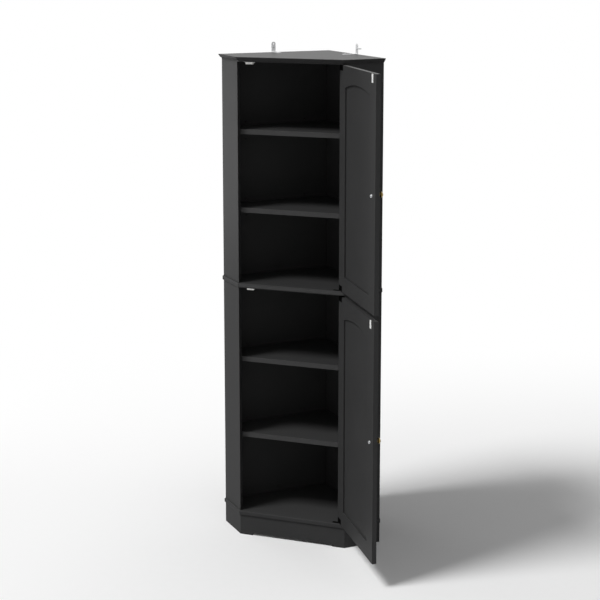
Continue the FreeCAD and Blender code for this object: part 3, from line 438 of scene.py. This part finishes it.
def moulded_white():
    """White moulded plastic with a fine spark-eroded skin, a little yellowed."""
    white = tuple(bpy.context.scene.cabinet_fittings.white)
    yellowed = tuple(part * tint for part, tint in zip(white, (0.95, 0.93, 0.88)))
    material, nodes, place = begun("moulded_white")
    skin = noise(nodes, place, scale=2200.0, detail=2.0)
    film = noise(nodes, place, scale=60.0, detail=3.0)
    colour = blended(nodes, film * 0.35, white, yellowed)
    sockets = {"Base Color": colour, "Roughness": 0.3 + 0.14 * skin, "IOR": 1.5, "Specular IOR Level": 0.8}
    finished(nodes, sockets, skin, depth=0.00002, normal=soft_normal(nodes, 0.0006))
    return material


def white_coat():
    """White coated steel strip."""
    white = tuple(bpy.context.scene.cabinet_fittings.white)
    material, nodes, place = begun("white_coat")
    peel = noise(nodes, place, scale=700.0, detail=2.0)
    film = noise(nodes, place, scale=45.0, detail=3.0)
    colour = blended(nodes, film * 0.3, white, toned(white, 0.92))
    sockets = {"Base Color": colour, "Roughness": 0.26 + 0.12 * film, "IOR": 1.5}
    finished(nodes, sockets, peel, depth=0.00002, normal=soft_normal(nodes, 0.0004))
    return material


def turned_brass():
    """Polished and lacquered brass with faint rings from the lathe, square to the knob's axis. Its colour
    is darkened with painted shade for the dark surroundings that the knobs reflect.
    """
    brass = tuple(bpy.context.scene.cabinet_fittings.brass)
    knob_axis = (-math.sin(DOOR_OPEN), math.cos(DOOR_OPEN), 0.0)
    material, nodes, place = begun("turned_brass")
    turning = {"W": dot(nodes, place, knob_axis), "Scale": 5200.0, "Detail": 1.0}
    rings = nodes.add("ShaderNodeTexNoise", {"noise_dimensions": "1D"}, turning)
    tarnish = noise(nodes, place, scale=260.0, detail=4.0)
    colour = blended(nodes, eased(nodes, tarnish, 0.45, 0.8), brass, toned(brass, 0.72))
    rough = 0.1 + 0.12 * tarnish + 0.06 * rings
    sockets = {"Base Color": colour, "Metallic": 1.0, "Roughness": rough}
    lacquer = {"Coat Weight": 0.4, "Coat Roughness": 0.1}
    finished(nodes, {**sockets, **lacquer}, rings, depth=0.00001)
    return material


def zinc_plate(name, zinc, roughness, metallic):
    """Zinc plate: faint crystals, fine brushing and dull patches."""
    material, nodes, place = begun(name)
    crystals = nodes.add("ShaderNodeTexVoronoi", {}, {"Vector": place, "Scale": 420.0}, "Color")
    shade = nodes.add("ShaderNodeSeparateColor", {}, {"Color": crystals})
    brushing = noise(nodes, place, scale=300.0, detail=3.0, stretch=(1.0, 1.0, 14.0))
    patches = noise(nodes, place, scale=70.0, detail=3.0)
    colour = blended(nodes, shade * 0.3 + patches * 0.3, zinc, toned(zinc, 0.7))
    rough = roughness + 0.12 * shade + 0.16 * patches
    sockets = {"Base Color": colour, "Metallic": metallic, "Roughness": rough}
    finished(nodes, sockets, brushing, depth=0.00001, normal=soft_normal(nodes, 0.0003))
    return material


def plated_steel():
    """Bright zinc, a little chalky, on pins, cams, catch poles and the screws that aren't coated."""
    zinc = tuple(bpy.context.scene.cabinet_fittings.zinc)
    return zinc_plate("plated_steel", zinc, roughness=0.3, metallic=0.2)


def weathered_steel():
    """Dull zinc on the wall brackets."""
    zinc = tuple(bpy.context.scene.cabinet_fittings.dull_zinc)
    return zinc_plate("weathered_steel", zinc, roughness=0.42, metallic=1.0)


def plain_beech():
    """Unfinished beech with upright grain and short flecks."""
    pale, dark, fleck = (0.62, 0.42, 0.24), (0.4, 0.24, 0.12), (0.26, 0.14, 0.07)
    material, nodes, place = begun("plain_beech")
    grain = noise(nodes, place, scale=260.0, detail=4.0, stretch=(1.0, 1.0, 0.06))
    flecks = noise(nodes, place, scale=900.0, detail=2.0, stretch=(1.0, 1.0, 0.2))
    colour = blended(nodes, grain, pale, dark)
    colour = blended(nodes, eased(nodes, flecks, 0.6, 0.75) * 0.6, colour, fleck)
    sockets = {"Base Color": colour, "Roughness": 0.55 + 0.2 * grain}
    finished(nodes, sockets, grain + flecks * 0.5, depth=0.00008)
    return material


FINISHES = {
    "painted_board": satin_paint,
    "black_metal": black_coat,
    "white_plastic": moulded_white,
    "white_metal": white_coat,
    "brass": turned_brass,
    "steel": plated_steel,
    "beech": plain_beech,
}
FITTING_SLOTS = [slot for slot in FINISHES if slot != "painted_board"]


def give_material(node, material):
    NODES[node].material_slots[0].material = material


def finish_slot(slot):
    """Gives every CAD node of a record slot its finish."""
    material = FINISHES[slot]()
    for node in NODES:
        if SLOT_OF[node] == slot:
            give_material(node, material)


def finish_of(slot):
    """The finish that a slot's function made under its own name."""
    return bpy.data.materials[FINISHES[slot].__name__]


# Round pieces built from rings of points

ROUND_SIDES = 32

# Points nearer than this, in metres, are one
MERGE_GAP = 1e-6


def ring(work, radius, level):
    turns = [2 * math.pi * step / ROUND_SIDES for step in range(ROUND_SIDES)]
    return [work.verts.new((radius * math.cos(turn), radius * math.sin(turn), level)) for turn in turns]


def bridge(work, first, second):
    for index in range(len(first)):
        after = (index + 1) % len(first)
        work.faces.new((first[index], first[after], second[after], second[index]))


def sharpened(work, name, degrees):
    """A mesh of the work, smooth but for the edges that turn by more than so many degrees."""
    bmesh.ops.recalc_face_normals(work, faces=work.faces)
    mesh = bpy.data.meshes.new(name)
    work.to_mesh(mesh)
    work.free()
    mesh.shade_smooth()
    mesh.set_sharp_from_angle(angle=math.radians(degrees))
    return mesh


def joined(name, meshes, material):
    """One object from meshes that are already in place."""
    work = bmesh.new()
    for mesh in meshes:
        work.from_mesh(mesh)
    whole = bpy.data.meshes.new(name)
    work.to_mesh(whole)
    work.free()
    whole.materials.append(material)
    piece = bpy.data.objects.new(name, whole)
    bpy.context.scene.collection.objects.link(piece)
    return piece


def islands(mesh):
    """The separate solids of a mesh, each as a list of points, in an order that no run changes."""
    work = bmesh.new()
    work.from_mesh(mesh)
    bmesh.ops.remove_doubles(work, verts=work.verts, dist=MERGE_GAP)
    left, found = set(work.verts), []
    while left:
        ahead, island = [left.pop()], []
        while ahead:
            vert = ahead.pop()
            island.append(vert.co.copy())
            for edge in vert.link_edges:
                other = edge.other_vert(vert)
                if other in left:
                    left.remove(other)
                    ahead.append(other)
        found.append(sorted(island, key=tuple))
    work.free()
    return sorted(found, key=lambda island: tuple(island[0]))


# Cover caps over the cam discs

# Shares of a cap's radius and thickness, from its rim over a rounded shoulder to a slightly domed face
CAP_PROFILE = ((1.0, 0.0), (1.0, 0.35), (0.97, 0.7), (0.9, 0.9), (0.6, 0.97), (0.2, 1.0))
CAP_SHARP = 50

# A disc looks along one of the two walls and into the cabinet, where INSIDE is an x and y in metres
DISC_WAYS = (Vector((1, 1, 0)).normalized(), Vector((1, -1, 0)).normalized())
INSIDE = (0, -0.3)


def cap_mesh(radius, thick):
    """A cap that stands on its rim."""
    work = bmesh.new()
    rings = [ring(work, radius * across, thick * up) for across, up in CAP_PROFILE]
    for first, second in zip(rings, rings[1:]):
        bridge(work, first, second)
    work.faces.new(rings[0])
    work.faces.new(rings[-1])
    return sharpened(work, "cover_cap", CAP_SHARP)


def disc_face(points):
    """The middle of a cam disc's open face, and the way that the face looks into the cabinet."""
    middle = Vector([(min(parts) + max(parts)) / 2 for parts in zip(*points)])
    reaches = [max((point - middle).dot(way) for point in points) for way in DISC_WAYS]
    reach = min(reaches)
    way = DISC_WAYS[reaches.index(reach)]
    inward = Vector((*INSIDE, middle.z)) - middle
    way = way if inward.dot(way) > 0 else -way
    return middle + way * reach, way


def cover_cams(radius, thick):
    """A painted cap over each cam disc, a little wider than the disc."""
    meshes = []
    for points in islands(NODES["cam_discs"].data):
        face, way = disc_face(points)
        mesh = cap_mesh(radius, thick)
        mesh.transform(Matrix.Translation(face) @ way.to_track_quat("Z", "Y").to_matrix().to_4x4())
        meshes.append(mesh)
    piece = joined("cover_caps", meshes, finish_of("painted_board"))
    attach(piece, "carcass")


# Screws with a cross recess

SCREW_NODES = [node for node in NODES if node.endswith(("_screws", "_screw"))]
SCREW_SHARP = 35

# Share of a head's radius that tells its rim, and of its depth that tells what is past it
AT_RIM, PAST_HEAD = 0.98, 1.05

# A screw whose head is within this distance of a strike, in metres, holds it
STRIKE_REACH = 0.03

# Degrees that the first screw of a node is turned by, and each later one beyond the one before
FIRST_TURN, NEXT_TURN = 17, 53


def measure_screw(points):
    """Where a screw's head is, the way that it points, its radii at head and shank, and how far
    down the head and the whole screw reach. The point farthest from the middle is taken for the
    tip. On the two knob screws that is a point of the head's rim, so they come out askew."""
    centre = sum(points, Vector()) / len(points)
    tip = max(points, key=lambda point: (point - centre).length)
    way = (tip - centre).normalized()
    depths = [(point - tip).dot(way) for point in points]
    long = -min(depths)
    top = tip - way * long
    radii = [((point - top) - way * (point - top).dot(way)).length for point in points]
    head = max(radii)
    under = max(long + depth for depth, radius in zip(depths, radii) if radius > head * AT_RIM)
    shank = max(radius for depth, radius in zip(depths, radii) if long + depth > under * PAST_HEAD)
    return top, way, head, under, shank, long


def cross(work, reach, half, level):
    """The corners of a cross whose arms are that long and twice half wide."""
    corners = [(reach, -half), (reach, half), (half, half), (half, reach), (-half, reach), (-half, half)]
    corners += [(-x, -y) for x, y in corners]
    return [work.verts.new((x, y, level)) for x, y in corners]


def screw_profile(head, under, shank, long):
    """Radii and levels from the slightly domed head round its rim and down to the tip."""
    ease = 0.1 * head
    return (
        (head * 0.86, -ease * 0.3),
        (head - ease * 0.3, -ease),
        (head, -ease * 1.8),
        (head, -under * 0.72),
        (shank * 1.1, -under),
        (shank, -under * 1.2),
        (shank, shank * 1.6 - long),
        (shank * 0.12, -long),
    )


def screw_mesh(head, under, shank, long, share):
    """A screw that points down -Z from its head, with a cross recess that narrows as it goes in."""
    work = bmesh.new()
    rings = [ring(work, radius, level) for radius, level in screw_profile(head, under, shank, long)]
    for first, second in zip(rings, rings[1:]):
        bridge(work, second, first)
    work.faces.new(list(reversed(rings[-1])))
    mouth = cross(work, reach=head * share, half=head * 0.13, level=0)
    floor = cross(work, reach=head * share * 0.5, half=head * 0.09, level=-under * 0.62)
    bridge(work, mouth, floor)
    work.faces.new(floor)
    lip = [edge for edge in work.edges if edge.is_boundary]
    bmesh.ops.triangle_fill(work, edges=lip, use_beauty=True)
    return sharpened(work, "cross_screw", SCREW_SHARP)


def held_slot(node, top):
    """The slot of what a screw holds: a door's screws match its strike or its hinge leaves."""
    if node.endswith("door_screws"):
        strike = NODES[node.replace("door_screws", "strike")]
        if min((vert.co - top).length for vert in strike.data.vertices) < STRIKE_REACH:
            return "white_metal"
    return SLOT_OF[node]


def drive_screws(node, share):
    """Cross-recessed screws in place of a CAD node's plain ones."""
    groups = {}
    for number, points in enumerate(islands(NODES[node].data)):
        top, way, *sizes = measure_screw(points)
        mesh = screw_mesh(*sizes, share)
        turned = way.to_track_quat("-Z", "Y").to_matrix().to_4x4()
        started = Matrix.Rotation(math.radians(FIRST_TURN + NEXT_TURN * number), 4, "Z")
        mesh.transform(Matrix.Translation(top) @ turned @ started)
        groups.setdefault(held_slot(node, top), []).append(mesh)
    for slot, meshes in groups.items():
        piece = joined(f"{node}_{slot}_driven", meshes, finish_of(slot))
        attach(piece, BODY_OF[node])
        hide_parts(node)


# Stage

WHITE = (1, 1, 1)

# Places of the lamps and what they are aimed at, in metres
KEY_PLACE, KEY_AIM = (-9.95, -11.2, 22.3), (0, -0.3, 0.9)
FILL_PLACE, FILL_AIM = (-2.85, 1.05, 1.2), (-0.2, -0.3, 1.5)

# The x and y of the way to the room's brighter side
ROOM_SIDE = (0.6, -0.8)

# Half the floor's side in metres, and the cells along a side
FLOOR_HALF, FLOOR_CELLS = 30, 24

# Metres over which the floor turns white, all of it BEHIND the cabinet, and a share of it to the left
BEHIND, BEHIND_FROM, BEHIND_TO, BEHIND_BEND = (-0.34, 0.94, 0.0), 0.1, 2.4, 0.6
BESIDE_FROM, BESIDE_TO, BESIDE_SHARE = -0.1, 1.1, 0.42

# Where the photograph was taken from, in metres and degrees, as the cabinet's straight edges tell
CAMERA_PLACE = (1.84607, -5.42257, 2.19406)
CAMERA_TILT, CAMERA_TURN, CAMERA_SHIFT = 79.856, 19.898, -0.1446
CAMERA_NEAR, CAMERA_FAR = 0.1, 100


def area_lamp(name, place, aim, energy, **settings):
    """An area lamp at a place, turned towards its aim."""
    data = bpy.data.lights.new(name, "AREA")
    data.energy = energy
    for setting, value in settings.items():
        setattr(data, setting, value)
    made = bpy.data.objects.new(name, data)
    made.location = place
    made.rotation_euler = (Vector(aim) - Vector(place)).to_track_quat("-Z", "Y").to_euler()
    bpy.context.scene.collection.objects.link(made)


def shows_white(nodes):
    """1 for the rays that should see the white background."""
    camera = nodes.add("ShaderNodeLightPath", {}, {}, "Is Camera Ray")
    glossy, through = (camera.beside(name) for name in ("Is Glossy Ray", "Is Transmission Ray"))
    settings = {"operation": "ADD", "use_clamp": True}
    return nodes.add("ShaderNodeMath", settings, {0: camera + glossy, 1: through})


def studio_world(level, lean):
    """White to the eye and in reflections. Otherwise a soft light, stronger from the front right."""
    world = bpy.data.worlds.new("studio")
    nodes = Nodes(world)
    looking = nodes.add("ShaderNodeTexCoord", {}, {}, "Generated")
    side = dot(nodes, looking, (*toned(ROOM_SIDE, lean), 0.0))
    room = nodes.add("ShaderNodeBackground", {}, {"Color": grey(nodes, 1 + side), "Strength": level})
    white = nodes.add("ShaderNodeBackground", {}, {"Color": WHITE, "Strength": 1.0})
    mixed = nodes.add("ShaderNodeMixShader", {}, {0: shows_white(nodes), 1: room, 2: white})
    nodes.add("ShaderNodeOutputWorld", {}, {"Surface": mixed})
    bpy.context.scene.world = world


def floor_paper(colour):
    """Matt pale paper that is seen as white far behind and beside the cabinet."""
    material, nodes, place = begun("studio_floor")
    behind = eased(nodes, dot(nodes, place, BEHIND), BEHIND_FROM, BEHIND_TO) ** BEHIND_BEND
    beside = eased(nodes, dot(nodes, place, LEFT), BESIDE_FROM, BESIDE_TO) * BESIDE_SHARE
    far = (behind + beside - behind * beside) * shows_white(nodes)
    speck = noise(nodes, place, scale=30.0, detail=2.0)
    tone = grey(nodes, 0.99 + 0.02 * speck) * colour
    matt = {"Base Color": tone, "Roughness": 1.0, "Specular IOR Level": 0.0}
    paper = nodes.add("ShaderNodeBsdfPrincipled", {}, matt)
    white = nodes.add("ShaderNodeEmission", {}, {"Color": WHITE, "Strength": 1.0})
    mixed = nodes.add("ShaderNodeMixShader", {}, {0: far, 1: paper, 2: white})
    nodes.add("ShaderNodeOutputMaterial", {}, {"Surface": mixed})
    return material


def studio_floor(colour):
    """A wide flat floor that takes the cabinet's shadow."""
    work = bmesh.new()
    bmesh.ops.create_grid(work, x_segments=FLOOR_CELLS, y_segments=FLOOR_CELLS, size=FLOOR_HALF)
    mesh = bpy.data.meshes.new("studio_floor")
    work.to_mesh(mesh)
    work.free()
    mesh.materials.append(floor_paper(colour))
    floor = bpy.data.objects.new("studio_floor", mesh)
    bpy.context.scene.collection.objects.link(floor)
    floor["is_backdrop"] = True


def photo_camera(lens):
    """The camera, at the photograph's place and angle."""
    data = bpy.data.cameras.new("camera")
    data.lens = lens
    data.shift_y = CAMERA_SHIFT
    data.clip_start, data.clip_end = CAMERA_NEAR, CAMERA_FAR
    camera = bpy.data.objects.new("camera", data)
    camera.location = CAMERA_PLACE
    camera.rotation_euler = (math.radians(CAMERA_TILT), 0, math.radians(CAMERA_TURN))
    bpy.context.scene.collection.objects.link(camera)
    bpy.context.scene.camera = camera


# Operators


class CABINET_OT_paint_boards(bpy.types.Operator):
    """Paint the boards, panels, plinth, shelves and doors"""

    bl_idname = "cabinet.paint_boards"
    bl_label = "Paint the boards"

    def execute(self, context):
        finish_slot("painted_board")
        return {"FINISHED"}


class CABINET_OT_finish_fittings(bpy.types.Operator):
    """Finish the hinges, catches, strikes, knobs, pins, cams, brackets and dowels"""

    bl_idname = "cabinet.finish_fittings"
    bl_label = "Finish the fittings"

    def execute(self, context):
        for slot in FITTING_SLOTS:
            finish_slot(slot)
        weathered = weathered_steel()
        for node in ("left_wall_bracket", "right_wall_bracket"):
            give_material(node, weathered)
        return {"FINISHED"}


class CABINET_OT_cover_cams(bpy.types.Operator):
    """Put a painted cap over each cam disc"""

    bl_idname = "cabinet.cover_cams"
    bl_label = "Cover the cams"

    def execute(self, context):
        fittings = context.scene.cabinet_fittings
        cover_cams(fittings.cap_radius, fittings.cap_thick)
        return {"FINISHED"}


class CABINET_OT_drive_screws(bpy.types.Operator):
    """Put screws with a cross recess in place of the plain ones"""

    bl_idname = "cabinet.drive_screws"
    bl_label = "Drive the screws"

    def execute(self, context):
        share = context.scene.cabinet_fittings.recess_share
        for node in SCREW_NODES:
            drive_screws(node, share)
        return {"FINISHED"}


class CABINET_OT_set_stage(bpy.types.Operator):
    """Set the floor, the lamps, the world and the camera"""

    bl_idname = "cabinet.set_stage"
    bl_label = "Set the stage"

    def execute(self, context):
        stage = context.scene.cabinet_stage
        context.scene.view_settings.view_transform = "Standard"
        studio_world(stage.room_level, stage.room_lean)
        studio_floor(tuple(stage.floor))
        area_lamp("key_lamp", KEY_PLACE, KEY_AIM, stage.key_power, shape="DISK", size=stage.key_size)
        area_lamp("fill_lamp", FILL_PLACE, FILL_AIM, stage.fill_power, size=stage.fill_size)
        photo_camera(stage.lens)
        return {"FINISHED"}


class CABINET_PT_sidebar(bpy.types.Panel):
    """Lists the steps, and the sizes and colours that they use"""

    bl_idname = "CABINET_PT_sidebar"
    bl_label = "Corner cabinet"
    bl_space_type = "VIEW_3D"
    bl_region_type = "UI"
    bl_category = "Corner cabinet"

    def draw(self, context):
        for name, group in GROUPS.items():
            column = self.layout.column()
            for setting in group.__annotations__:
                column.prop(getattr(context.scene, name), setting)
        for step in STEPS:
            self.layout.operator(step.bl_idname)


GROUPS = {"cabinet_paint": PaintSettings, "cabinet_fittings": FittingSettings, "cabinet_stage": StageSettings}
STEPS = (
    CABINET_OT_paint_boards,
    CABINET_OT_finish_fittings,
    CABINET_OT_cover_cams,
    CABINET_OT_drive_screws,
    CABINET_OT_set_stage,
)
CLASSES = (*GROUPS.values(), *STEPS, CABINET_PT_sidebar)


def register():
    for item in CLASSES:
        bpy.utils.register_class(item)
    for name, group in GROUPS.items():
        setattr(bpy.types.Scene, name, bpy.props.PointerProperty(type=group))


def unregister():
    for name in GROUPS:
        delattr(bpy.types.Scene, name)
    for item in reversed(CLASSES):
        bpy.utils.unregister_class(item)


def corners():
    """The lowest and highest corners of everything but the stage, as plain lists."""
    return [list(corner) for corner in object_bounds()]


def main():
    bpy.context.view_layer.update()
    register()
    bpy.ops.cabinet.paint_boards()
    bpy.ops.cabinet.finish_fittings()
    bpy.ops.cabinet.cover_cams()
    bpy.ops.cabinet.drive_screws()
    bpy.ops.cabinet.set_stage()


if __name__ == "__main__":
    main()
